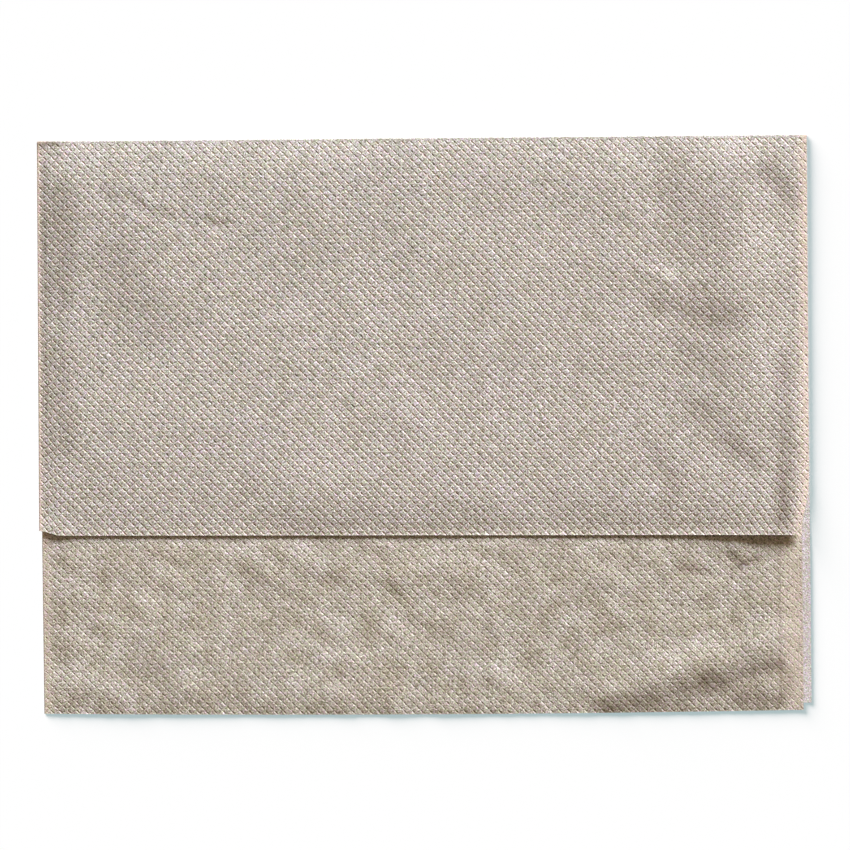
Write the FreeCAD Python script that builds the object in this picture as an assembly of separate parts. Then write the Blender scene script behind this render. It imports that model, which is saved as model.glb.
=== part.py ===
"""A one-ply paper napkin, folded in half and then folded over across the top.

One sheet makes the whole part. Its first fold lies along the left side, so the napkin has two leaves:
a wide one below and a narrow one above, both open on the right. The second fold lies along the top
and brings the upper end of both leaves forward over the rest, as a flap that covers two thirds of it.
Millimetres. X runs to the right, Y up the napkin towards the top fold, Z up off the table.
The origin is the middle of the underside.
"""

import FreeCAD, Part
import math
import os

# The flat sheet, as it was cut.
SHEET_WIDTH = 330.2
SHEET_LENGTH = 208.4  # along the half fold
SHEET_OUT_OF_SQUARE = 0.3  # its sides are this much longer than its middle, where the half fold is
SHEET_THICKNESS = 0.20

# The air that the folded layers hold between them.
LEAF_AIR = 0.10
FLAP_AIR = 0.12

# The half fold on the left. It isn't quite on the sheet's centre line, nor quite along the sheet.
LEAF_MISMATCH = 1.75  # the wide leaf is this much wider than the narrow one
LEAF_SKEW = 1.55  # at the open side, the wide leaf lies this far up the napkin from the narrow one

# The fold across the top.
BODY_DEPTH = 123.5  # from the top fold to the lower edge, on the left
FLAP_OVERHANG = 0.5  # at the lower edge, the left fold lies this far inside the flap's left side
FLAP_LEAN = 0.25  # at its free edge, the flap's left side stands this far out of square

# The cut edges aren't quite straight.
LOWER_EDGE_DROP = 0.6  # the lower edge's right end lies this far below its left end
LOWER_EDGE_BOW = 0.55  # and its middle this far below the line between them
FLAP_END_SHORT = 1.0  # at the left fold, the flap's edge is drawn up by this much
FLAP_END_REACH = 4.6  # over this length of the edge

# The flap's free corner on the right curls up off the napkin.
CURL_HEIGHT = 1.75  # the corner's tip above where it would lie flat
CURL_IN = 1.85  # how far the tip is drawn to the left
CURL_WIDTH = 34.0  # the length of the flap's edge that is lifted
CURL_DEPTH = 21.0  # and how far the lift reaches up the flap

# Heights of the folded stack, worked out from the table up.
LEAF_PITCH = SHEET_THICKNESS + LEAF_AIR
AXIS_Z = SHEET_THICKNESS + LEAF_PITCH + FLAP_AIR / 2  # the axis of the fold across the top
BEND_RADIUS = LEAF_AIR / 2 + SHEET_THICKNESS  # the outside of the half fold
BEND_Z = BEND_RADIUS  # the axis of the half fold, in the lower layers

# Widths of the two leaves, from the left fold's axis to the open side.
BEND_LENGTH = math.pi * (LEAF_AIR + SHEET_THICKNESS) / 2
WIDE_LEAF = (SHEET_WIDTH - BEND_LENGTH + LEAF_MISMATCH) / 2
NARROW_LEAF = (SHEET_WIDTH - BEND_LENGTH - LEAF_MISMATCH) / 2

# Lengths from the top fold's axis down to the free edges, at the left fold. The fold across the top
# takes up a half circle of each leaf, and the flap gets what is left of the sheet.
BODY_RUN = BODY_DEPTH - AXIS_Z
TOP_BEND_LENGTH = math.pi * (AXIS_Z - BEND_RADIUS)
FLAP_RUN = SHEET_LENGTH - BODY_RUN - TOP_BEND_LENGTH

# Where the spans of a curved leaf meet, as shares of its width and of the flap's depth. They stand
# closest where the leaf bends most, beside the half fold and in the curl.
CUBIC = 3
MIDDLE = 0.5
END_SPANS = (0.5, 1.5)  # of the reach of the drawn up end, from the half fold
SIDE_SPANS = (1.1, 0.6, 0.25, 0)  # of the curl's width, from the open side
EDGE_SPANS = (1.6, 0.9, 0.45, 0.2, 0)  # of the curl's depth, from the flap's edge
ACROSS_KNOTS = [0] + [FLAP_END_REACH / WIDE_LEAF * part for part in END_SPANS] + [MIDDLE]
ACROSS_KNOTS += [1 - CURL_WIDTH / WIDE_LEAF * part for part in SIDE_SPANS]
ALONG_KNOTS = [0] + [1 - CURL_DEPTH / FLAP_RUN * part for part in EDGE_SPANS]


def control_shares(knots):
    """Where the control points of a cubic spline stand, for it to run evenly from 0 to 1."""
    padded = [knots[0]] * CUBIC + knots + [knots[-1]] * CUBIC
    count = len(knots) + CUBIC - 1
    return [sum(padded[i + 1 : i + 1 + CUBIC]) / CUBIC for i in range(count)]


ACROSS = control_shares(ACROSS_KNOTS)
ALONG = control_shares(ALONG_KNOTS)


def ends_repeated(knots):
    return [CUBIC + 1] + [1] * (len(knots) - 2) + [CUBIC + 1]


def spline_edge(points, knots):
    curve = Part.BSplineCurve()
    curve.buildFromPolesMultsKnots(points, ends_repeated(knots), knots, False, CUBIC)
    return curve.toShape()


def spline_face(rows, row_knots, point_knots):
    """A face from rows of control points. Its sides are the splines of its outermost points."""
    mults = ends_repeated(row_knots), ends_repeated(point_knots)
    surface = Part.BSplineSurface()
    surface.buildFromPolesMultsKnots(rows, *mults, row_knots, point_knots, False, False, CUBIC, CUBIC)
    return surface.toShape()


def strip_face(low_points, high_points, knots):
    """The narrow face between two splines, such as a cut edge of the sheet."""
    return Part.makeRuledSurface(spline_edge(low_points, knots), spline_edge(high_points, knots))


def flat_face(*edges):
    return Part.Face(Part.Wire(Part.__sortEdges__(list(edges))))


def line(start, end):
    return Part.LineSegment(start, end).toShape()


def half_circle(start, middle, end):
    return Part.Arc(start, middle, end).toShape()


def fade(share):
    """Rises from 0 to 1 with no kink at either end."""
    share = min(max(share, 0), 1)
    return share * share * (3 - 2 * share)


def curled(from_left, down):
    """The share of the curl at a place on the flap: 1 at the wide leaf's corner, 0 where it lies flat.

    Both leaves curl together, so the narrow one stays under the wide one.
    """
    from_side = WIDE_LEAF - from_left
    from_edge = FLAP_RUN + LEAF_SKEW - LOWER_EDGE_DROP + SHEET_OUT_OF_SQUARE - down
    return fade(1 - from_side / CURL_WIDTH) * fade(1 - from_edge / CURL_DEPTH)


class Leaf:
    """One of the two leaves. Its layer in the body and its layer in the flap face each other."""

    def __init__(self, width, rise, base_z):
        self.width = width
        self.rise = rise  # how far its lower edge climbs from the half fold to the open side
        self.skins = (base_z, base_z + SHEET_THICKNESS)

    def body_point(self, share, z):
        """A point of the lower free edge, at a share of the leaf's width."""
        x = FLAP_OVERHANG + share * (self.width - FLAP_OVERHANG)
        bow = LOWER_EDGE_BOW * 4 * share * (1 - share)
        return FreeCAD.Vector(x, share * self.rise - BODY_RUN - bow, z)

    def fold_point(self, share, z):
        """A point of the line where the leaf turns into the fold across the top."""
        return FreeCAD.Vector(share * self.width, 0, z)

    def flap_point(self, share, depth, z):
        """A control point of the flap, at shares of the leaf's width and of the flap's depth."""
        from_left = share * self.width
        drawn_up = FLAP_END_SHORT * (1 - fade(from_left / FLAP_END_REACH))
        down = depth * (FLAP_RUN - drawn_up + share * (self.rise + SHEET_OUT_OF_SQUARE))
        curl = curled(from_left, down)
        x = from_left - FLAP_LEAN * depth - CURL_IN * curl**2
        return FreeCAD.Vector(x, -down, 2 * AXIS_Z - z + CURL_HEIGHT * curl)

    def lower_edge(self, z):
        return [self.body_point(share, z) for share in ACROSS]

    def flap_edge(self, z):
        return [self.flap_point(share, 1, z) for share in ACROSS]

    def flap_side(self, z):
        return [self.flap_point(1, depth, z) for depth in ALONG]

    def flap_rows(self, z):
        return [[self.flap_point(share, depth, z) for depth in ALONG] for share in ACROSS]

    def top_bend(self, share, z):
        start = self.fold_point(share, z)
        middle = FreeCAD.Vector(start.x, AXIS_Z - z, AXIS_Z)
        return half_circle(start, middle, self.fold_point(share, 2 * AXIS_Z - z))

    def skin_faces(self, z):
        """One face of the sheet: flat in the body, round in the top fold and curved in the flap."""
        body = flat_face(
            spline_edge(self.lower_edge(z), ACROSS_KNOTS),
            line(self.body_point(1, z), self.fold_point(1, z)),
            line(self.fold_point(1, z), self.fold_point(0, z)),
            line(self.fold_point(0, z), self.body_point(0, z)),
        )
        top_fold = self.top_bend(0, z).extrude(FreeCAD.Vector(self.width, 0, 0))
        return [body, top_fold, spline_face(self.flap_rows(z), ACROSS_KNOTS, ALONG_KNOTS)]

    def cut_faces(self):
        """The cut edges: the lower one, the open side of the body, top fold and flap, the flap's."""
        low, high = self.skins
        side = flat_face(
            line(self.body_point(1, low), self.fold_point(1, low)),
            line(self.fold_point(1, low), self.fold_point(1, high)),
            line(self.fold_point(1, high), self.body_point(1, high)),
            line(self.body_point(1, high), self.body_point(1, low)),
        )
        top_side = flat_face(
            self.top_bend(1, low),
            self.top_bend(1, high),
            line(self.fold_point(1, low), self.fold_point(1, high)),
            line(self.fold_point(1, 2 * AXIS_Z - low), self.fold_point(1, 2 * AXIS_Z - high)),
        )
        return [
            strip_face(self.lower_edge(low), self.lower_edge(high), ACROSS_KNOTS),
            side,
            top_side,
            strip_face(self.flap_side(low), self.flap_side(high), ALONG_KNOTS),
            strip_face(self.flap_edge(low), self.flap_edge(high), ACROSS_KNOTS),
        ]

    def faces(self):
        low, high = self.skins
        return self.skin_faces(low) + self.skin_faces(high) + self.cut_faces()


def half_fold_faces(wide, narrow):
    """The half round bend that joins the leaves on the left, in the body, the top fold and the flap."""
    found = []
    ends = []
    for radius in (BEND_RADIUS, BEND_RADIUS - SHEET_THICKNESS):
        low, high = BEND_Z - radius, BEND_Z + radius
        fold_arc = half_circle(
            wide.fold_point(0, low), FreeCAD.Vector(-radius, 0, BEND_Z), narrow.fold_point(0, high)
        )
        down_body = wide.body_point(0, low) - wide.fold_point(0, low)
        found.append(fold_arc.extrude(down_body))
        found.append(fold_arc.revolve(FreeCAD.Vector(0, 0, AXIS_Z), FreeCAD.Vector(1, 0, 0), 180))

        flap_arc = fold_arc.rotated(FreeCAD.Vector(0, 0, AXIS_Z), FreeCAD.Vector(1, 0, 0), 180)
        down_flap = wide.flap_point(0, 1, low) - wide.flap_point(0, 0, low)
        found.append(flap_arc.extrude(down_flap))
        ends.append((fold_arc.translated(down_body), flap_arc.translated(down_flap)))

    # The cut ends of the bend, at the lower edge and at the flap's edge.
    for outer, inner in zip(*ends):
        bridges = [line(outer.Vertexes[i].Point, inner.Vertexes[i].Point) for i in (0, 1)]
        found.append(flat_face(outer, inner, *bridges))
    return found


def folded_napkin():
    wide = Leaf(WIDE_LEAF, LEAF_SKEW - LOWER_EDGE_DROP, 0)
    narrow = Leaf(NARROW_LEAF, -LOWER_EDGE_DROP, LEAF_PITCH)
    sheet = Part.makeCompound(wide.faces() + narrow.faces() + half_fold_faces(wide, narrow))
    sheet.sewShape()
    solid = Part.Solid(sheet.Shells[0])
    if solid.Volume < 0:
        solid.reverse()
    box = solid.optimalBoundingBox(False)
    solid.translate(FreeCAD.Vector(-box.Center.x, -box.Center.y, 0))
    return solid


os.makedirs("parts", exist_ok=True)
napkin = folded_napkin()
print("valid", napkin.isValid(), "closed", napkin.isClosed(), "volume", napkin.Volume)
print(napkin.optimalBoundingBox(False))
napkin.exportStep("parts/napkin.step")
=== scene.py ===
"""A folded paper napkin of embossed, unbleached tissue, lying on a pale table and seen from above."""

import math

import bmesh
import bpy
import numpy as np
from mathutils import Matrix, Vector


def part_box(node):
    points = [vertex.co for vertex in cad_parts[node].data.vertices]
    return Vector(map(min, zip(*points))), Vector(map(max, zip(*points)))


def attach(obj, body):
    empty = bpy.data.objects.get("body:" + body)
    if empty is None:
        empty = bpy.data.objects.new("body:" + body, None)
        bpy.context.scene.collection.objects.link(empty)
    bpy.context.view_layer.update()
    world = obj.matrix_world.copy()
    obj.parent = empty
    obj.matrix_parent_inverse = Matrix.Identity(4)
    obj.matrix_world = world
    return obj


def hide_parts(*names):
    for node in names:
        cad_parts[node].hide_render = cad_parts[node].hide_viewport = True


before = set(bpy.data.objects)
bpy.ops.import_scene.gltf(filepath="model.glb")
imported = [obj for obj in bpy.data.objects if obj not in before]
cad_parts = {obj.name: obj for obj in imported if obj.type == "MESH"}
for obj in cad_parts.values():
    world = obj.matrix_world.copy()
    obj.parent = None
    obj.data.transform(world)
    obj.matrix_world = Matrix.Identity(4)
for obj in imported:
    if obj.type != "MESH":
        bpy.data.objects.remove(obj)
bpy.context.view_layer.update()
scene = bpy.context.scene


# The sheet and its folds.
# The napkin is one sheet of one-ply tissue. A folding machine creased it down the middle, which is the
# left side now, and then across, which gives the flap. The two leaves end up a little out of line.
MM = 0.001
THICKNESS = 0.20 * MM
LEAF_AIR = 0.10 * MM  # between the two leaves
FLAP_AIR = 0.12 * MM  # between the body and the flap
BEND_RADIUS = LEAF_AIR / 2 + THICKNESS
NARROW_LOW = THICKNESS + LEAF_AIR  # the narrow leaf lies on the wide one
BODY_TOP = NARROW_LOW + THICKNESS
TURN_Z = BODY_TOP + FLAP_AIR / 2  # the axis of the fold across the top

LEAF_MISMATCH = 1.75 * MM  # the wide leaf reaches this much further to the right
LEAF_SKEW = 1.55 * MM  # and its lower right corner lies this much further up
FLAP_RUN = 84.49 * MM  # from the top fold down to the flap's edge, along the left side
OUT_OF_SQUARE = 0.3 * MM  # the flap's edge slopes down to the right this much more than in a square sheet
FLAP_LEAN = 0.25 * MM  # the flap leans to the left, this far at its free edge
FLAP_OVERHANG = 0.5 * MM  # the body's lower left corner lies this far to the right
FLAP_END_SHORT = 1.0 * MM  # the left end of the flap's edge is drawn up this far
FLAP_END_REACH = 4.6 * MM
LOWER_EDGE_DROP = 0.6 * MM  # the narrow leaf's lower edge slopes down this far to the right
LOWER_EDGE_BOW = 0.55 * MM  # and bows down this far in the middle, as the wide leaf's does
BOW_BELOW = 0.28 * MM  # the bowed edge hangs this far below its right corner
SQUARED = 0.5  # pressing made the fold across the top a little squarer than round; 1 is round
EDGE_LIFT = 0.45 * MM  # below the flap, the cut edges on the right turn up a little
EDGE_REACH = 4.0 * MM
LIFT_START, LIFT_END = 0.60, 0.76  # of the way from the top fold down to the lower edge
CURL_HEIGHT = 1.15 * MM  # the flap's lower right corner curls up
CURL_IN = 1.85 * MM  # which draws it in
CURL_WIDTH = 34.0 * MM
CURL_DEPTH = 15.0 * MM

low_corner, high_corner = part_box("napkin")
ORIGIN_X = low_corner.x + FLAP_LEAN + BEND_RADIUS  # where the half fold and the top fold meet
ORIGIN_Y = high_corner.y - TURN_Z
WIDE = high_corner.x - ORIGIN_X
NARROW = WIDE - LEAF_MISMATCH
BODY_RUN = ORIGIN_Y - low_corner.y - LOWER_EDGE_DROP - BOW_BELOW
WIDE_RISE = LEAF_SKEW - LOWER_EDGE_DROP
NARROW_RISE = -LOWER_EDGE_DROP
CURL_TIP = FLAP_RUN + WIDE_RISE + OUT_OF_SQUARE
HALF_BEND = math.pi / 2 * (BEND_RADIUS - THICKNESS / 2)


def fade(share):
    """Rises from 0 to 1 with no kink at either end."""
    share = np.clip(share, 0, 1)
    return share * share * (3 - 2 * share)


def fold_up(across, along, z, out=0.0):
    """Folds the flat sheet: gives the place of each of its points in the napkin.

    across is the distance in the flat sheet from the half fold, below 0 on the narrow leaf. along runs
    from 0 at the lower edge to 1 and 2 at the two ends of the top fold and 3 at the flap's edge. z is the
    height in the body's layers, and out the distance that the half fold stands out to the left.
    """
    across, along, z, out = np.broadcast_arrays(across, along, z, out)
    from_left = np.maximum(np.abs(across) - HALF_BEND, 0)
    on_wide = across > 0
    share = from_left / np.where(on_wide, WIDE, NARROW)
    rise = share * np.where(on_wide, WIDE_RISE, NARROW_RISE)
    below = np.clip(1 - along, 0, 1)
    turn = math.pi * np.clip(along - 1, 0, 1)
    depth = np.clip(along - 2, 0, 1)

    drawn_up = FLAP_END_SHORT * (1 - fade(from_left / FLAP_END_REACH))
    down = depth * (FLAP_RUN - drawn_up + rise + share * OUT_OF_SQUARE)
    curl = fade(1 - (WIDE - from_left) / CURL_WIDTH) * fade(1 - (CURL_TIP - down) / CURL_DEPTH)
    bow = LOWER_EDGE_BOW * 4 * share * (1 - share)

    x = from_left + below * FLAP_OVERHANG * (1 - share) - depth * FLAP_LEAN - CURL_IN * curl**2 - out
    sine, cosine = np.sin(turn), np.cos(turn)
    y = (TURN_Z - z) * np.abs(sine) ** SQUARED - down - below * (BODY_RUN + bow - rise)
    height = TURN_Z - (TURN_Z - z) * np.sign(cosine) * np.abs(cosine) ** SQUARED
    places = np.stack([x + ORIGIN_X, y + ORIGIN_Y, height], axis=-1)
    in_upper_leaf = fade((z - THICKNESS) / LEAF_AIR)
    lift = EDGE_LIFT * fade(1 - (WIDE - from_left) / EDGE_REACH)
    lift = lift * fade((below - LIFT_START) / (LIFT_END - LIFT_START))
    air = puff(places[..., 0], places[..., 1], in_upper_leaf, turn)
    places[..., 2] += lift + CURL_HEIGHT * curl + air
    return places


# The air in the folded layers.
# The machine pressed the folds flat. Between them the tissue is springy, so the napkin swells, most where
# it has four layers. Handling left a few soft dents, and small creases where the tissue gave way.
EDGE_Y = ORIGIN_Y - FLAP_RUN  # the flap's free edge
FLAP_SWELL = 0.85 * MM
STRIP_SWELL = 0.52 * MM
AIR_AT_CUTS = 0.2  # the share of the swelling that is left at the cut edges on the right and below
AIR_AT_FREE_EDGE = 0.1  # and at the flap's free edge
FLAP_WAVINESS = 0.08  # how much the swelling varies from place to place
STRIP_WAVINESS = 0.3
UNDER_FLAP_SHARE = 0.5  # of the swelling lies below the body's upper leaf
TOP_REACH = 9.5 * MM  # how far the swelling takes to level out from the top fold
LEFT_REACH = 9 * MM
RIGHT_REACH = 15 * MM
STRIP_REACH = 5 * MM
LOWER_REACH = 6.5 * MM
LIP_REACH = 1.6 * MM  # the cut edge of the flap turns up a little
LIP_HEIGHT = 0.10 * MM
CRUMPLE = 0.09 * MM  # the height of the strip's small random waves
PINCH_REACH = 14 * MM  # near its free edge the flap's layers lie closely pressed
PINCH = 0.85  # of the air between them
LEFT_END_RIDGE = (-84, -23, -80, -23, 6, 0.30)  # the left end of the free edge stands up a little

# How far up the flap the swelling takes to die away above its free edge, from the left to the right.
DROOP_X = np.array([-83, -40, -28, 18, 26, 36, 58, 83]) * MM
DROOP_REACH = np.array([28, 28, 9, 9, 20, 9, 9, 14]) * MM

# Ridges, and dents below 0, as the line from x, y to x, y, how wide each side is and how high, in mm.
FLAP_RIDGES = [
    (61, 60, 68, 33, 15, 0.75),
    (68, 33, 74, 2, 14, 0.55),
    (52, 29.5, 67, 26.5, 6, 0.26),
    (47, 33.8, 53.5, 31.2, 2.2, 0.14),
    (53.5, 31.2, 70, 32, 3.0, 0.10),
    (57, 19.5, 66, 16, 5, 0.14),
    (59, 7.5, 67, 3.5, 5, 0.12),
    (64, -0.5, 71, -4.5, 4, 0.10),
    (50, 58, 51, 44, 6, -0.20),
    (8, 46, 26, 45, 9, -0.13),
    (66, 57, 81, 57, 6, 0.16),
    (-73, 50, -58, 47, 7, 0.13),
    (-68.5, 50.3, -62, 48.6, 3.0, -0.13),
    (-62, 48.6, -52.2, 45, 3.2, -0.11),
    (-57.7, 58, -58.6, 50.5, 1.6, -0.18),
    (-47, 44.8, -44.4, 43, 1.7, -0.12),
    (-44.4, 43, -41.6, 43.8, 1.7, -0.12),
    (77, 52.5, 80, 49, 4.0, -0.25),
]
STRIP_RIDGES = [
    (39.7, -58.2, 61.3, -51.2, 7.0, 0.42),
    (61.3, -51.2, 76, -47.2, 6.0, 0.44),
    (68.4, -54.9, 75.7, -53, 2.4, -0.20),
    (65.8, -28.6, 68.4, -31.4, 1.8, -0.16),
    (68.4, -31.4, 71.6, -29.6, 1.8, -0.16),
    (55, -31.6, 60.8, -32.2, 2.0, -0.12),
    (60.8, -32.2, 67, -34, 2.0, -0.08),
    (-36, -30.5, 8, -32.5, 6.0, 0.20),
    (14.5, -28, 14.2, -61, 1.4, 0.09),
    (-21.7, -42, -21.8, -60, 1.4, 0.07),
    (76.5, -28, 76.5, -47, 1.2, 0.05),
]

# Where the pulp is painted browner: painted shade on dents, on slopes turned from the lamp, under the flap's
# lifted edge and at the foot of its curled corner, and browner pulp along creases and the pressed folds. The
# same six values, the last of them from 0 to 1.
CREASE_AND_SHADE_LINES = [
    (-77.5, 50, -77.5, 28, 6.0, 0.45),
    (-77.5, 17, -78, -3, 6.0, 0.28),
    (-81.3, 58, -81.5, 15, 0.8, 0.45),
    (-81.5, 15, -81.6, -18, 0.8, 0.2),
    (-83, 61.6, -78.4, 61.6, 1.5, 1.0),
    (-55.3, 62, -55.2, 61.5, 1.3, 0.8),
    (-68.3, 50.4, -59.3, 48, 1.8, 0.25),
    (-59.3, 48, -52.2, 45.4, 1.9, 0.25),
    (-46.8, 45.2, -42.5, 44.2, 1.6, 0.35),
    (-66.5, 36, -58.5, 23, 10.0, 0.38),
    (74, 54.5, 79.5, 48.5, 3.6, 0.62),
    (50.5, 26, 64, 20.5, 4.5, 0.40),
    (57, 15.5, 63, 11, 4.5, 0.26),
    (59, 3.5, 66, -2.5, 5.0, 0.34),
    (67, -5, 71, -9, 3.5, 0.30),
    (78, 14, 77.6, -20, 3.5, 0.50),
    (77.5, -12, 77, -21, 4.0, 0.40),
    (50, -6, 54, -12, 5.0, 0.40),
    (64, 46, 66, 41, 6.0, 0.30),
    (19, -25.5, 30, -25.5, 1.5, 0.5),
    (76.5, -26, 76.4, -61, 0.7, 0.5),
    (78.2, -54, 78.2, -58, 2.4, 0.6),
    (41, -60.5, 61.3, -56.3, 4.5, 0.70),
    (61.3, -56, 76, -52, 4.0, 0.75),
    (67.7, -58.8, 76, -59.8, 3.0, 0.7),
    (66, -27.5, 68.4, -31, 2.4, 0.5),
    (68.4, -31, 71.6, -29, 1.6, 0.4),
    (55, -31.4, 60.8, -31.9, 1.6, 0.5),
    (-62, -47, -54, -55, 5.0, 0.4),
]


def ridge(x, y, values):
    """A soft ridge or dent along a line, as high as the last of its values."""
    x1, y1, x2, y2, reach, height = (value * MM for value in values)
    length = math.hypot(x2 - x1, y2 - y1)
    way_x, way_y = (x2 - x1) / length, (y2 - y1) / length
    on_line = np.clip((x - x1) * way_x + (y - y1) * way_y, 0, length)
    away = np.hypot(x - x1 - on_line * way_x, y - y1 - on_line * way_y)
    return height * fade(1 - away / reach)


def rounded(distance, reach, least=0.0):
    """The share of the swelling at a distance from a fold or an edge: it rises from least and levels out."""
    return 1 - (1 - least) * (1 - np.clip(distance / reach, 0, 1)) ** 2


def waves(x, y, shortest, longest, count, seed):
    """Soft waves that run every way, mostly between -1 and 1."""
    random = np.random.default_rng(seed)
    found = np.zeros(np.shape(x))
    for length in np.linspace(shortest, longest, count):
        turn, start = random.uniform(0, math.tau, 2)
        way = x * math.cos(turn) + y * math.sin(turn)
        found += length * np.sin(math.tau * way / length + start)
    return found / (0.5 * (shortest + longest) * math.sqrt(count))


def puff(x, y, in_upper_leaf, turn):
    """How far each place stands above where it would lie in a tightly pressed napkin."""
    from_edge = y - EDGE_Y
    left_side = rounded(x - ORIGIN_X, LEFT_REACH)
    right_side = rounded(ORIGIN_X + WIDE - x, RIGHT_REACH, AIR_AT_CUTS)
    droop = rounded(from_edge, np.interp(x, DROOP_X, DROOP_REACH), AIR_AT_FREE_EDGE)
    broad = waves(x, y, shortest=15 * MM, longest=60 * MM, count=25, seed=3)
    flap = FLAP_SWELL * rounded(ORIGIN_Y - y, TOP_REACH) * droop * (1 + FLAP_WAVINESS * broad)
    flap = flap + sum(ridge(x, y, values) for values in FLAP_RIDGES)

    in_strip = rounded(-from_edge, STRIP_REACH)
    lower_side = rounded(y - low_corner.y, LOWER_REACH, AIR_AT_CUTS)
    strip = STRIP_SWELL * lower_side * (1 + STRIP_WAVINESS * broad)
    strip = strip + CRUMPLE * waves(x, y, shortest=3.5 * MM, longest=11 * MM, count=40, seed=5)
    strip = strip + sum(ridge(x, y, values) for values in STRIP_RIDGES)
    swell = np.maximum((flap * (1 - in_strip) + strip * in_strip) * left_side * right_side, 0)

    near_strip = fade(1 - from_edge / STRIP_REACH)
    body_share = in_upper_leaf * (UNDER_FLAP_SHARE + (1 - UNDER_FLAP_SHARE) * near_strip)
    in_flap = fade(turn / math.pi)
    lip = LIP_HEIGHT * fade(1 - from_edge / LIP_REACH)
    left_end = ridge(x, y, LEFT_END_RIDGE)
    air = FLAP_AIR + LEAF_AIR * (1 - in_upper_leaf)
    pressed = PINCH * air * fade(1 - from_edge / PINCH_REACH)
    return swell * (body_share + (1 - body_share) * in_flap) + (lip + left_end - pressed) * in_flap


# The embossing.
# An engraved steel roller pressed a fine lattice of grooves into the tissue, at 45 degrees to its sides,
# and left soft square pads between them. The grooves cross every 1.86 mm.
CROSSING = 1.863 * MM
GRID = CROSSING / 2
GROOVE_DEPTH = 0.20 * MM
STRIP_GROOVE_DEPTH = 0.085 * MM
GROOVE_SHARE = 0.40  # of the way from a crossing to the middle of a pad, up the groove's side
CROSSING_SHARE = 0.38  # the grooves are deepest between two crossings
SHALLOW_SHARE = 0.5  # and those of one direction are shallow there too
PAD_RISE = 0.03 * MM
UNEVEN = 0.05 * MM  # how far the crossings and pads stray from their places
DEPTH_SHARES = (0.75, 1.0)  # the depth differs from point to point, and so does the rise of the pads
RISE_SHARES = (0.2, 1.8)
FIRMNESS = 0.82  # of the pattern on the flap, at its top left corner
FIRMER_RIGHT = 0.16
FIRMER_BELOW = 0.14
BARE_LEFT = 0.9 * MM  # the pressure on the folds and edges took the pattern off this far from them
BARE_STRIP_LEFT = 2.4 * MM
BARE_RIGHT = 3.4 * MM
BARE_STRIP_RIGHT = 8.0 * MM
BARE_TOP = 0.5 * MM
random = np.random.default_rng(8)


def bareness(across, along):
    """How far the folds and the cut edges at the sides pressed the pattern out, from 0 to 1."""
    from_left = np.abs(across) - HALF_BEND
    from_right = np.where(across > 0, WIDE, NARROW) - from_left
    in_body = along < 1
    kept = fade(from_left / np.where(in_body, BARE_STRIP_LEFT, BARE_LEFT))
    return 1 - kept * fade(from_right / np.where(in_body, BARE_STRIP_RIGHT, BARE_RIGHT))


def embossing(across, along):
    """The share of the pattern's depth that is left at each place of the sheet."""
    from_top = np.maximum((along - 2) * FLAP_RUN, (1 - along) * BODY_RUN)
    firmness = FIRMNESS + FIRMER_RIGHT * np.abs(across) / WIDE + FIRMER_BELOW * np.clip(along - 2, 0, 1)
    kept = (1 - bareness(across, along)) * np.where(along < 1, 1, firmness)
    return kept * fade(from_top / BARE_TOP)


INNER_FACE = 2.0
points = []
grooves = []  # 1 where a groove's bottom is, for the material
bare = []  # 1 where the pattern was pressed out, up to INNER_FACE where the sheet looks as it does inside
crease_and_shade_marks = []  # 1 where crease tone and painted shade are strongest
faces = []
smooth_faces = []  # the numbers of those that are shaded smooth


def add_points(across, along, z, out=0.0, groove=0.0):
    """Adds points of the sheet to the mesh and gives their numbers, in the same rows and columns."""
    places = fold_up(across, along, z, out)
    shape = places.shape[:-1]
    first = sum(len(block) for block in points)
    points.append(places.reshape(-1, 3))
    grooves.append(np.broadcast_to(groove, shape).ravel())
    # By their height, these are the inner face and the outermost line of the half fold.
    inside = np.abs(z - BEND_RADIUS) < LEAF_AIR
    pressed = np.where(inside, INNER_FACE, bareness(across, along))
    bare.append(np.broadcast_to(pressed, shape).ravel())
    # Crease tone and painted shade, from the lines listed above.
    crease_and_shade = sum(ridge(places[..., 0], places[..., 1], values) for values in CREASE_AND_SHADE_LINES) / MM
    crease_and_shade_marks.append(np.clip(crease_and_shade, 0, 1).ravel())
    return first + np.arange(places[..., 0].size).reshape(shape)


def add_faces(*corners, smooth=False):
    """Adds one face for each row of the given corner numbers."""
    first = len(faces)
    faces.extend(np.stack([np.ravel(numbers) for numbers in corners], axis=-1).tolist())
    if smooth:
        smooth_faces.extend(range(first, len(faces)))


def zip_up(first, first_at, second, second_at):
    """Fills the narrow gap between two rows of points with triangles."""
    i = j = 0
    while i < len(first) - 1 or j < len(second) - 1:
        ends = j == len(second) - 1
        if ends or (i < len(first) - 1 and first_at[i + 1] <= second_at[j + 1]):
            faces.append((first[i], first[i + 1], second[j]))
            i += 1
        else:
            faces.append((first[i], second[j + 1], second[j]))
            j += 1


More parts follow.
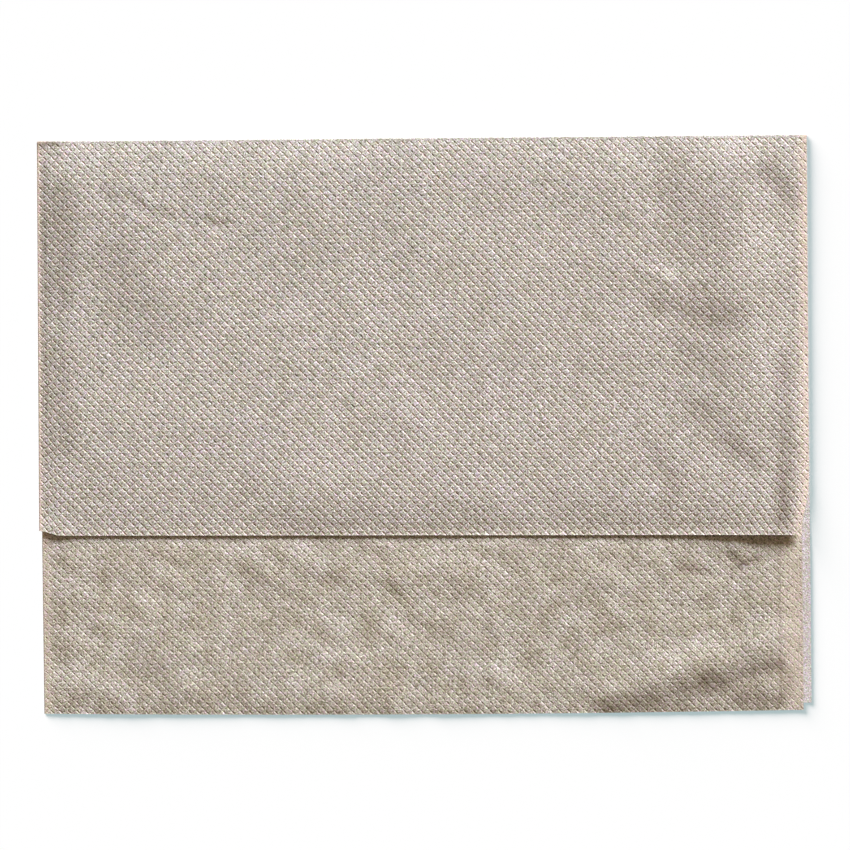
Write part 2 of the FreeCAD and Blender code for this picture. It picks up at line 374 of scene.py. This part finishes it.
class Skin:
    """A block of one face of the sheet, with its four borders as rows of point numbers."""

    def __init__(self, across, along, z, inward=0.0):
        self.across = np.asarray(across)
        self.along = np.asarray(along)
        self.z = z
        self.inward = inward

    def add(self, columns, rows, grooved=None):
        """Adds points at fractional columns and rows of the block. Those that are grooved lie deeper."""
        across = np.interp(columns, np.arange(len(self.across)), self.across)
        along = np.interp(rows, np.arange(len(self.along)), self.along)
        if grooved is None:
            return add_points(across, along, self.z)
        kept = embossing(across, along)
        stray = kept * (columns > 0) * (columns < len(self.across) - 1)
        stray = stray * (rows > 0) * (rows < len(self.along) - 1)
        across = across + stray * random.uniform(-UNEVEN, UNEVEN, across.shape)
        run = np.where(along < 1, BODY_RUN, FLAP_RUN)
        along = along + stray * random.uniform(-UNEVEN, UNEVEN, across.shape) / run
        depth = np.where(along < 1, STRIP_GROOVE_DEPTH, GROOVE_DEPTH)
        depth = depth * grooved * random.uniform(*DEPTH_SHARES, across.shape)
        depth = depth - PAD_RISE * (grooved == 0) * random.uniform(*RISE_SHARES, across.shape)
        return add_points(across, along, self.z + self.inward * kept * depth, groove=grooved)

    def keep_grid(self, numbers):
        """Keeps the borders of a block whose points form a plain grid."""
        self.first_row, self.last_row = numbers[0], numbers[-1]
        self.first_column, self.last_column = numbers[:, 0], numbers[:, -1]
        self.row_at, self.column_at = self.across, self.along
        return self

    def smooth(self):
        """A plain block, for what hardly shows."""
        numbers = self.add(*np.meshgrid(np.arange(len(self.across)), np.arange(len(self.along))))
        add_faces(numbers[:-1, :-1], numbers[:-1, 1:], numbers[1:, 1:], numbers[1:, :-1], smooth=True)
        return self.keep_grid(numbers)

    def embossed(self):
        """A block with a groove from crossing to crossing, and a pad between the grooves."""
        last_column, last_row = len(self.across) - 1, len(self.along) - 1
        columns, rows = np.meshgrid(np.arange(last_column + 1), np.arange(last_row + 1))
        crosses = (columns + rows) % 2 == 0
        crossings = np.full(columns.shape, -1)
        crossings[crosses] = self.add(columns[crosses], rows[crosses], CROSSING_SHARE)

        columns, rows = np.meshgrid(np.arange(last_column), np.arange(last_row + 1))
        shift = np.where((columns + rows) % 2 == 0, GROOVE_SHARE, 1 - GROOVE_SHARE)
        flat_rims = self.add(columns + shift, rows, 0.0)
        columns, rows = np.meshgrid(np.arange(last_column + 1), np.arange(last_row))
        shift = np.where((columns + rows) % 2 == 0, GROOVE_SHARE, 1 - GROOVE_SHARE)
        upright_rims = self.add(columns, rows + shift, 0.0)
        columns, rows = np.meshgrid(np.arange(last_column) + 0.5, np.arange(last_row) + 0.5)
        middles = self.add(columns, rows, np.where((columns + rows) % 2 == 0, SHALLOW_SHARE, 1.0))

        # The sides of the grooves: each cell of the grid is a fan round the middle of its groove.
        low, high = flat_rims[:-1], flat_rims[1:]
        near, far = upright_rims[:, :-1], upright_rims[:, 1:]
        rising = crosses[:-1, :-1]
        rising_ring = crossings[:-1, :-1], low, far, crossings[1:, 1:], high, near
        falling_ring = low, crossings[:-1, 1:], far, high, crossings[1:, :-1], near
        for cells, ring in ((rising, rising_ring), (~rising, falling_ring)):
            for first, second in zip(ring, ring[1:] + ring[:1]):
                add_faces(first[cells], second[cells], middles[cells])

        # The tops of the pads. Those on a border are cut in half.
        for row in range(last_row + 1):
            for column in range(1 - row % 2, last_column + 1, 2):
                pad = []
                if column > 0:
                    pad.append(flat_rims[row, column - 1])
                if row > 0:
                    pad.append(upright_rims[row - 1, column])
                if column < last_column:
                    pad.append(flat_rims[row, column])
                if row < last_row:
                    pad.append(upright_rims[row, column])
                faces.append(tuple(pad))

        self.first_row, self.row_at = self.border(crossings[0], flat_rims[0], self.across, 0)
        self.last_row, _ = self.border(crossings[-1], flat_rims[-1], self.across, last_row)
        near_rims = upright_rims[:, 0]
        self.first_column, self.column_at = self.border(crossings[:, 0], near_rims, self.along, 0)
        self.last_column, _ = self.border(crossings[:, -1], upright_rims[:, -1], self.along, last_column)
        return self

    def border(self, crossings, rims, at, line):
        """The point numbers of one border in order, and where they lie. line is its row or column."""
        places = np.arange(len(rims))
        shift = np.where((places + line) % 2 == 0, GROOVE_SHARE, 1 - GROOVE_SHARE)
        numbers = np.full(2 * len(rims) + 1, -1)
        numbers[::2] = crossings
        numbers[1::2] = rims
        steps = np.zeros(len(numbers))
        steps[::2] = np.arange(len(crossings))
        steps[1::2] = places + shift
        kept = numbers >= 0
        return numbers[kept], np.interp(steps[kept], np.arange(len(at)), at)


def even(length):
    """The even number of grid steps that comes nearest to a length."""
    return 2 * round(length / GRID / 2)


# The outer face of the sheet.
# It shows as the flap and as the strip below it. The underside is plain, and so is what is hidden in
# the folds.
PLAIN_WIDE_COLUMNS = 51
PLAIN_NARROW_COLUMNS = 31
UNDERSIDE_ROWS = 41
FOLD_STEPS = 6
UNDER_FLAP = 6 * MM  # the pattern is modelled this far in under the flap
HIDDEN_ROWS = 9
HIDDEN_GAP = 0.03  # of the body's length, between the pattern and the hidden rows
CLOSE_ROWS = 10  # near the flap's free edge
CLOSE_START, OPEN_END = 0.8, 0.75  # of the way down the flap


def wide_columns(count):
    """Columns from the half fold to the wide leaf's cut edge."""
    return np.linspace(HALF_BEND, HALF_BEND + WIDE, count)


def narrow_columns(count):
    """Columns from the narrow leaf's cut edge to the half fold."""
    return np.linspace(-HALF_BEND - NARROW, -HALF_BEND, count)


plain_wide = wide_columns(PLAIN_WIDE_COLUMNS)
plain_narrow = narrow_columns(PLAIN_NARROW_COLUMNS)
fold_along = 1 + np.arange(1, FOLD_STEPS) / FOLD_STEPS
STRIP_ROWS = even(BODY_RUN - FLAP_RUN + UNDER_FLAP)
strip_along = np.arange(STRIP_ROWS + 1) * GRID / BODY_RUN
hidden_along = np.linspace(strip_along[-1] + HIDDEN_GAP, 1, HIDDEN_ROWS)
open_rows = np.linspace(0, OPEN_END, HIDDEN_ROWS)
close_rows = np.linspace(CLOSE_START, 1, CLOSE_ROWS)
flap_along = 2 + np.concatenate([open_rows, close_rows])

underside = Skin(plain_wide, np.linspace(0, 1, UNDERSIDE_ROWS), 0).smooth()
top_fold = Skin(plain_wide, fold_along, 0).smooth()
flap = Skin(wide_columns(even(WIDE) + 1), np.linspace(2, 3, even(FLAP_RUN) + 1), 0, 1).embossed()
strip = Skin(narrow_columns(even(NARROW) + 1), strip_along, BODY_TOP, -1).embossed()
hidden = Skin(plain_narrow, np.concatenate([hidden_along, fold_along, flap_along]), BODY_TOP).smooth()

zip_up(underside.last_row, underside.row_at, top_fold.first_row, top_fold.row_at)
zip_up(top_fold.last_row, top_fold.row_at, flap.first_row, flap.row_at)
zip_up(strip.last_row, strip.row_at, hidden.first_row, hidden.row_at)

# The half fold's outer side.
# It is the round bend down the left side, from the lower edge over the top fold to the flap's edge.
BEND_STEPS = 6
wide_side = np.concatenate([underside.first_column, top_fold.first_column, flap.first_column])
wide_side_at = np.concatenate([underside.column_at, top_fold.column_at, flap.column_at])
narrow_side = np.concatenate([strip.last_column, hidden.last_column])
narrow_side_at = np.concatenate([strip.column_at, hidden.column_at])


def add_bend(radius, steps, along):
    """Adds the points of the bend between the leaves, from the wide leaf's side to the narrow one's."""
    angles = math.pi * np.arange(1, steps)[:, None] / steps
    across = HALF_BEND * (1 - 2 * angles / math.pi)
    numbers = add_points(across, along, BEND_RADIUS - radius * np.cos(angles), radius * np.sin(angles))
    return across[:, 0], numbers


bend_across, bend_numbers = add_bend(BEND_RADIUS, BEND_STEPS, wide_side_at)
for first, second in zip([wide_side, *bend_numbers[:-1]], bend_numbers):
    add_faces(first[:-1], first[1:], second[1:], second[:-1], smooth=True)
zip_up(bend_numbers[-1], wide_side_at, narrow_side, narrow_side_at)

# The inner face of the sheet.
# It lies inside the folded leaves. All that shows of it is the wide leaf's edge, which sticks out on
# the right beyond the narrow one.
INNER_COLUMNS = 61
INNER_STRIP_ROWS = 19
INNER_BEND_STEPS = 4
inner_strip_along = np.linspace(0, strip_along[-1], INNER_STRIP_ROWS)
inner_along = np.concatenate([inner_strip_along, hidden_along, fold_along, flap_along])
wide_inner = Skin(wide_columns(INNER_COLUMNS), inner_along, THICKNESS).smooth()
narrow_inner = Skin(narrow_columns(INNER_COLUMNS), inner_along, NARROW_LOW).smooth()
inner_across, inner_numbers = add_bend(BEND_RADIUS - THICKNESS, INNER_BEND_STEPS, inner_along)
inner_rows = [wide_inner.first_column, *inner_numbers, narrow_inner.last_column]
for first, second in zip(inner_rows[:-1], inner_rows[1:]):
    add_faces(first[:-1], first[1:], second[1:], second[:-1], smooth=True)

# The cut edges.
# A blade cut the sheet on all four sides, so its edges show its thickness.
zip_up(
    np.concatenate([underside.last_column, top_fold.last_column, flap.last_column]),
    wide_side_at,
    wide_inner.last_column,
    inner_along,
)
zip_up(
    np.concatenate([strip.first_column, hidden.first_column]),
    narrow_side_at,
    narrow_inner.first_column,
    inner_along,
)
inner_at = np.concatenate([narrow_inner.row_at, inner_across[::-1], wide_inner.row_at])
zip_up(
    np.concatenate([strip.first_row, bend_numbers[::-1, 0], underside.first_row]),
    np.concatenate([strip.row_at, bend_across[::-1], underside.row_at]),
    np.concatenate([narrow_inner.first_row, inner_numbers[::-1, 0], wide_inner.first_row]),
    inner_at,
)
zip_up(
    np.concatenate([hidden.last_row, bend_numbers[::-1, -1], flap.last_row]),
    np.concatenate([hidden.row_at, bend_across[::-1], flap.row_at]),
    np.concatenate([narrow_inner.last_row, inner_numbers[::-1, -1], wide_inner.last_row]),
    inner_at,
)

mesh = bpy.data.meshes.new("napkin_sheet")
mesh.from_pydata(np.concatenate(points).tolist(), [], faces)
working = bmesh.new()
working.from_mesh(mesh)
bmesh.ops.recalc_face_normals(working, faces=working.faces)
working.faces.ensure_lookup_table()
for number in smooth_faces:
    working.faces[number].smooth = True
for edge in working.edges:
    edge.smooth = all(face.smooth for face in edge.link_faces)
working.to_mesh(mesh)
working.free()

mesh.attributes.new("groove", "FLOAT", "POINT").data.foreach_set("value", np.concatenate(grooves))
mesh.attributes.new("bare", "FLOAT", "POINT").data.foreach_set("value", np.concatenate(bare))
mesh.attributes.new("crease_and_shade", "FLOAT", "POINT").data.foreach_set("value", np.concatenate(crease_and_shade_marks))
napkin = bpy.data.objects.new("napkin_sheet", mesh)
scene.collection.objects.link(napkin)


# Unbleached tissue.
# Recycled pulp that was creped and embossed: matt, with short fibres that lie every way, each with a
# tint of its own, and cloudy where the pulp lay thicker.
def linear(hex_colour):
    """An sRGB colour such as "CDC6BD", as the linear colour that a shader takes."""
    shares = [int(hex_colour[i : i + 2], 16) / 255 for i in (0, 2, 4)]
    return [s / 12.92 if s <= 0.04045 else ((s + 0.055) / 1.055) ** 2.4 for s in shares] + [1]


def add_node(tree, kind, settings, links):
    """Adds a node with its settings, its input values and the sockets that feed it."""
    node = tree.nodes.new(kind)
    for name, value in settings.items():
        setattr(node, name, value)
    for name, value in links.items():
        socket = node.inputs[name]
        if isinstance(value, bpy.types.NodeSocket):
            tree.links.new(value, socket)
        else:
            socket.default_value = value
    return node


tissue = bpy.data.materials.new("unbleached_tissue")
tissue.use_nodes = True
tree = tissue.node_tree
tree.nodes.clear()
place = add_node(tree, "ShaderNodeTexCoord", {}, {}).outputs["Object"]
groove = add_node(tree, "ShaderNodeAttribute", {"attribute_name": "groove"}, {}).outputs["Fac"]
pressed_out = add_node(tree, "ShaderNodeAttribute", {"attribute_name": "bare"}, {}).outputs["Fac"]
# The crease tone and painted shade of each point.
crease_and_shade_amount = add_node(tree, "ShaderNodeAttribute", {"attribute_name": "crease_and_shade"}, {}).outputs["Fac"]
height_up = add_node(tree, "ShaderNodeSeparateXYZ", {}, {"Vector": place}).outputs["Y"]

FIBRE_CLUMP = 0.30 * MM
FLECK = 0.24 * MM  # a fibre is a tenth as wide and too fine to show, so it is drawn this coarse
TINT_PATCH = 0.8 * MM
CLOUD = 5 * MM
BROAD_CLOUD = 16 * MM
STRIP_FADE = 3 * MM  # this far on each side of the free edge, the flap's colours turn into the strip's


def noise(scale, detail, roughness, shift=0.0):
    """Soft noise whose largest specks have a real size."""
    settings = {"noise_dimensions": "4D"}
    values = {"Vector": place, "W": shift, "Scale": 1 / scale, "Detail": detail, "Roughness": roughness}
    return add_node(tree, "ShaderNodeTexNoise", settings, values).outputs["Fac"]


def spread(value, low, high, first, last):
    """Takes the values from low to high to those from first to last."""
    values = {"Value": value, "From Min": low, "From Max": high, "To Min": first, "To Max": last}
    return add_node(tree, "ShaderNodeMapRange", {}, values).outputs["Result"]


def mix(factor, first, second, kind="MIX"):
    """Mixes two colours."""
    settings = {"data_type": "RGBA", "blend_type": kind}
    return add_node(
        tree, "ShaderNodeMix", settings, {"Factor": factor, "A": first, "B": second}
    ).outputs["Result"]


def times(first, second):
    """Multiplies two values."""
    return add_node(tree, "ShaderNodeMath", {"operation": "MULTIPLY"}, {0: first, 1: second}).outputs[0]


in_strip = spread(height_up, EDGE_Y + STRIP_FADE, EDGE_Y - STRIP_FADE, 0, 1)
grain = noise(FIBRE_CLUMP, 3.0, 0.75)
clouds = noise(CLOUD, 3.0, 0.6)
broad_clouds = noise(BROAD_CLOUD, 2.0, 0.5)
cells = add_node(tree, "ShaderNodeTexVoronoi", {}, {"Vector": place, "Scale": 1 / FLECK}).outputs["Color"]
parts = add_node(tree, "ShaderNodeSeparateColor", {}, {"Color": cells}).outputs
fleck, fleck_hue = parts["Blue"], parts["Red"]

# The pulp: darker where it lay thicker, and paler on the pressed folds and edges and the inner face.
pulp = mix(in_strip, linear("D0CBC7"), linear("CDC6BD"))
thick = mix(in_strip, linear("C9C4BC"), linear("BDB4A6"))
pulp = mix(spread(clouds, 0.38, 0.62, 0, 1), thick, pulp)
pulp = mix(pressed_out, pulp, mix(in_strip, linear("EDDBD0"), linear("DDD0C4")))
pulp = mix(spread(pressed_out, 1, INNER_FACE, 0, 1), pulp, linear("E4DDDF"))

# Browner pulp along the creases, and painted shade on the dents, the slopes turned from the lamp and under
# the flap's lifted edge.
crease_tone_and_shade = mix(times(crease_and_shade_amount, spread(grain, 0.35, 0.65, 0.4, 1.2)), linear("FFFFFF"), linear("BCB3AB"))
pulp = mix(1.0, pulp, crease_tone_and_shade, "MULTIPLY")
# Painted shade in the bottoms of the grooves, most where the pulp lay thicker.
deep = spread(groove, 0.5, 1, 0, 1)
deepest_groove_shade = spread(in_strip, 0, 1, 0.45, 0.9)
faintest_groove_shade = spread(in_strip, 0, 1, 0.12, 0.3)
groove_shade = times(deep, spread(clouds, 0.35, 0.6, deepest_groove_shade, faintest_groove_shade))
pulp = mix(groove_shade, pulp, linear("8E7150"))

# Small patches and single flecks of fibre, each with its own tint and shade. Pressing evened them out.
tint = spread(noise(TINT_PATCH, 3.0, 0.75, 4.0), 0.35, 0.65, 0, 1)
pulp = mix(1.0, pulp, mix(tint, linear("F8F6FB"), linear("FFF8F0")), "MULTIPLY")
pulp = mix(1.0, pulp, mix(fleck_hue, linear("FFFBE6"), linear("F1F5FF")), "MULTIPLY")
pulp = mix(0.22, pulp, mix(1.0, pulp, cells, "MULTIPLY"))
dark = spread(pressed_out, 0, 1, 0.63, 0.925)
pale = spread(pressed_out, 0, 1, 1.70, 1.41)
shade = times(spread(grain, 0.3, 0.7, 0.62, 1.42), spread(fleck, 0, 1, dark, pale))
shade = times(shade, spread(broad_clouds, 0.3, 0.7, 0.97, 1.03))
colour = mix(1.0, pulp, shade, "MULTIPLY")

# The grooves of the underside are left to a bump: two sets of bands at 45 degrees to the sheet's sides.
BANDS = math.tau / 20 / (CROSSING / math.sqrt(2))  # Blender's wave texture has 20 radians to its unit
turned = add_node(tree, "ShaderNodeMapping", {}, {"Vector": place, "Rotation": (0, 0, math.pi / 4)})
bands = [
    add_node(
        tree,
        "ShaderNodeTexWave",
        {"bands_direction": direction},
        {"Vector": turned.outputs["Vector"], "Scale": BANDS},
    ).outputs["Fac"]
    for direction in ("X", "Y")
]
facing = add_node(tree, "ShaderNodeTexCoord", {}, {}).outputs["Normal"]
facing_down = add_node(tree, "ShaderNodeSeparateXYZ", {}, {"Vector": facing}).outputs["Z"]
pads = add_node(tree, "ShaderNodeMath", {"operation": "MINIMUM"}, {0: bands[0], 1: bands[1]}).outputs[0]
pads = times(spread(pads, 0, 0.5, 0, 1), spread(facing_down, -0.6, -0.4, 1, 0))
pad_bump = add_node(tree, "ShaderNodeBump", {}, {"Height": pads, "Strength": 1.0, "Distance": 0.12 * MM})
bump = add_node(
    tree,
    "ShaderNodeBump",
    {},
    {"Height": grain, "Strength": 1.0, "Distance": 0.30 * MM, "Normal": pad_bump.outputs["Normal"]},
)

# A bump makes the bottom of each groove narrower than the mesh can.
steepening = add_node(tree, "ShaderNodeMath", {"operation": "POWER"}, {0: groove, 1: 2.5}).outputs[0]
steepening = times(steepening, spread(in_strip, 0, 1, 1, 0.6))
groove_bump = add_node(
    tree,
    "ShaderNodeBump",
    {"invert": True},
    {"Height": steepening, "Strength": 1.0, "Distance": 0.33 * MM, "Normal": bump.outputs["Normal"]},
)
surface = add_node(
    tree,
    "ShaderNodeBsdfPrincipled",
    {},
    {
        "Base Color": colour,
        "Roughness": 0.95,
        "IOR": 1.45,
        "Specular IOR Level": 0.25,
        "Normal": groove_bump.outputs["Normal"],
    },
)
add_node(tree, "ShaderNodeOutputMaterial", {}, {"Surface": surface.outputs["BSDF"]})
mesh.materials.append(tissue)

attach(napkin, "root")
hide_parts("napkin")


# The table.
# A plain white sheet, wide enough to fill every view. It keeps the napkin's soft shadow.
FLOOR_SIZE = 6.0
TABLE_GAP = 0.02 * MM  # the table lies this far below the napkin
floor_mesh = bpy.data.meshes.new("table")
half = FLOOR_SIZE / 2
floor_mesh.from_pydata(
    [(x, y, -TABLE_GAP) for x, y in ((-half, -half), (half, -half), (half, half), (-half, half))],
    [],
    [(0, 1, 2, 3)],
)
floor = bpy.data.objects.new("table", floor_mesh)
scene.collection.objects.link(floor)

white = bpy.data.materials.new("white_table")
white.use_nodes = True
tree = white.node_tree
tree.nodes.clear()

# It is matt to the light. The camera sees it part lit and part plain white, so that the shadow stays pale.
matt = add_node(tree, "ShaderNodeBsdfDiffuse", {}, {"Color": (0.86, 0.87, 0.88, 1)})
part_lit = add_node(tree, "ShaderNodeBsdfDiffuse", {}, {"Color": (0.75, 0.58, 0.53, 1)})
part_white = add_node(tree, "ShaderNodeEmission", {}, {"Color": (0.25, 0.42, 0.47, 1), "Strength": 1.0})
shown = add_node(tree, "ShaderNodeAddShader", {}, {0: part_lit.outputs[0], 1: part_white.outputs[0]})
ray = add_node(tree, "ShaderNodeLightPath", {}, {})
seen = add_node(tree, "ShaderNodeMixShader", {}, {"Fac": ray.outputs["Is Camera Ray"]})
tree.links.new(matt.outputs[0], seen.inputs[1])
tree.links.new(shown.outputs[0], seen.inputs[2])
add_node(tree, "ShaderNodeOutputMaterial", {}, {"Surface": seen.outputs[0]})
floor_mesh.materials.append(white)


# The light.
# A low lamp beyond the top of the view and a little to its right rakes over the pads, and a soft light
# from all round fills the shadows.
KEY_AZIMUTH = 28.0  # degrees from the top of the view towards its right
KEY_ELEVATION = 22.0
KEY_WIDTH = 26.0  # degrees that the lamp takes up in the sky
FILL = 0.28
FILL_COLOUR = (1.0, 0.81, 0.57)
key_data = bpy.data.lights.new("key", "SUN")
key_data.angle = math.radians(KEY_WIDTH)
key_data.energy = (1 - FILL) * math.pi / math.sin(math.radians(KEY_ELEVATION))
key_data.color = [(1 - FILL * share) / (1 - FILL) for share in FILL_COLOUR]  # together they are white
key = bpy.data.objects.new("key", key_data)
key.rotation_euler = (math.radians(KEY_ELEVATION - 90), 0, math.radians(-KEY_AZIMUTH))
scene.collection.objects.link(key)

# The table has a wider lamp of its own, from the other side, and each lamp lights only its own piece.
TABLE_AZIMUTH = -36.0
TABLE_ELEVATION = 22.0
TABLE_WIDTH = 40.0
table_key_data = bpy.data.lights.new("table_key", "SUN")
table_key_data.angle = math.radians(TABLE_WIDTH)
table_key_data.energy = (1 - FILL) * math.pi / math.sin(math.radians(TABLE_ELEVATION))
table_key_data.color = key_data.color
table_key = bpy.data.objects.new("table_key", table_key_data)
table_key.rotation_euler = (math.radians(TABLE_ELEVATION - 90), 0, math.radians(-TABLE_AZIMUTH))
scene.collection.objects.link(table_key)
for lamp, lit in ((key, napkin), (table_key, floor)):
    lit_pieces = bpy.data.collections.new("lit_by_" + lamp.name)
    lit_pieces.objects.link(lit)
    lamp.light_linking.receiver_collection = lit_pieces

world = bpy.data.worlds.new("studio")
scene.world = world
world.use_nodes = True
tree = world.node_tree
tree.nodes.clear()
fill = add_node(tree, "ShaderNodeBackground", {}, {"Color": (*FILL_COLOUR, 1), "Strength": FILL})
backdrop = add_node(tree, "ShaderNodeBackground", {}, {"Color": (1, 1, 1, 1), "Strength": 1.0})
ray = add_node(tree, "ShaderNodeLightPath", {}, {})
shown = add_node(tree, "ShaderNodeMixShader", {}, {"Fac": ray.outputs["Is Camera Ray"]})
tree.links.new(fill.outputs[0], shown.inputs[1])
tree.links.new(backdrop.outputs[0], shown.inputs[2])
add_node(tree, "ShaderNodeOutputWorld", {}, {"Surface": shown.outputs[0]})


# The view.
# Straight down from 1.4 m. The napkin lies turned by half a degree in it.
VIEW_WIDTH = 183.4 * MM
VIEW_HEIGHT = 1.4
VIEW_CENTRE = (0.28 * MM, 0.26 * MM)
VIEW_TURN = -0.51
camera_data = bpy.data.cameras.new("camera")
camera_data.sensor_width = 36.0
camera_data.lens = camera_data.sensor_width * VIEW_HEIGHT / VIEW_WIDTH
camera = bpy.data.objects.new("camera", camera_data)
camera.location = (*VIEW_CENTRE, VIEW_HEIGHT)
camera.rotation_euler = (0, 0, math.radians(VIEW_TURN))
scene.collection.objects.link(camera)
scene.camera = camera
scene.view_settings.view_transform = "Standard"
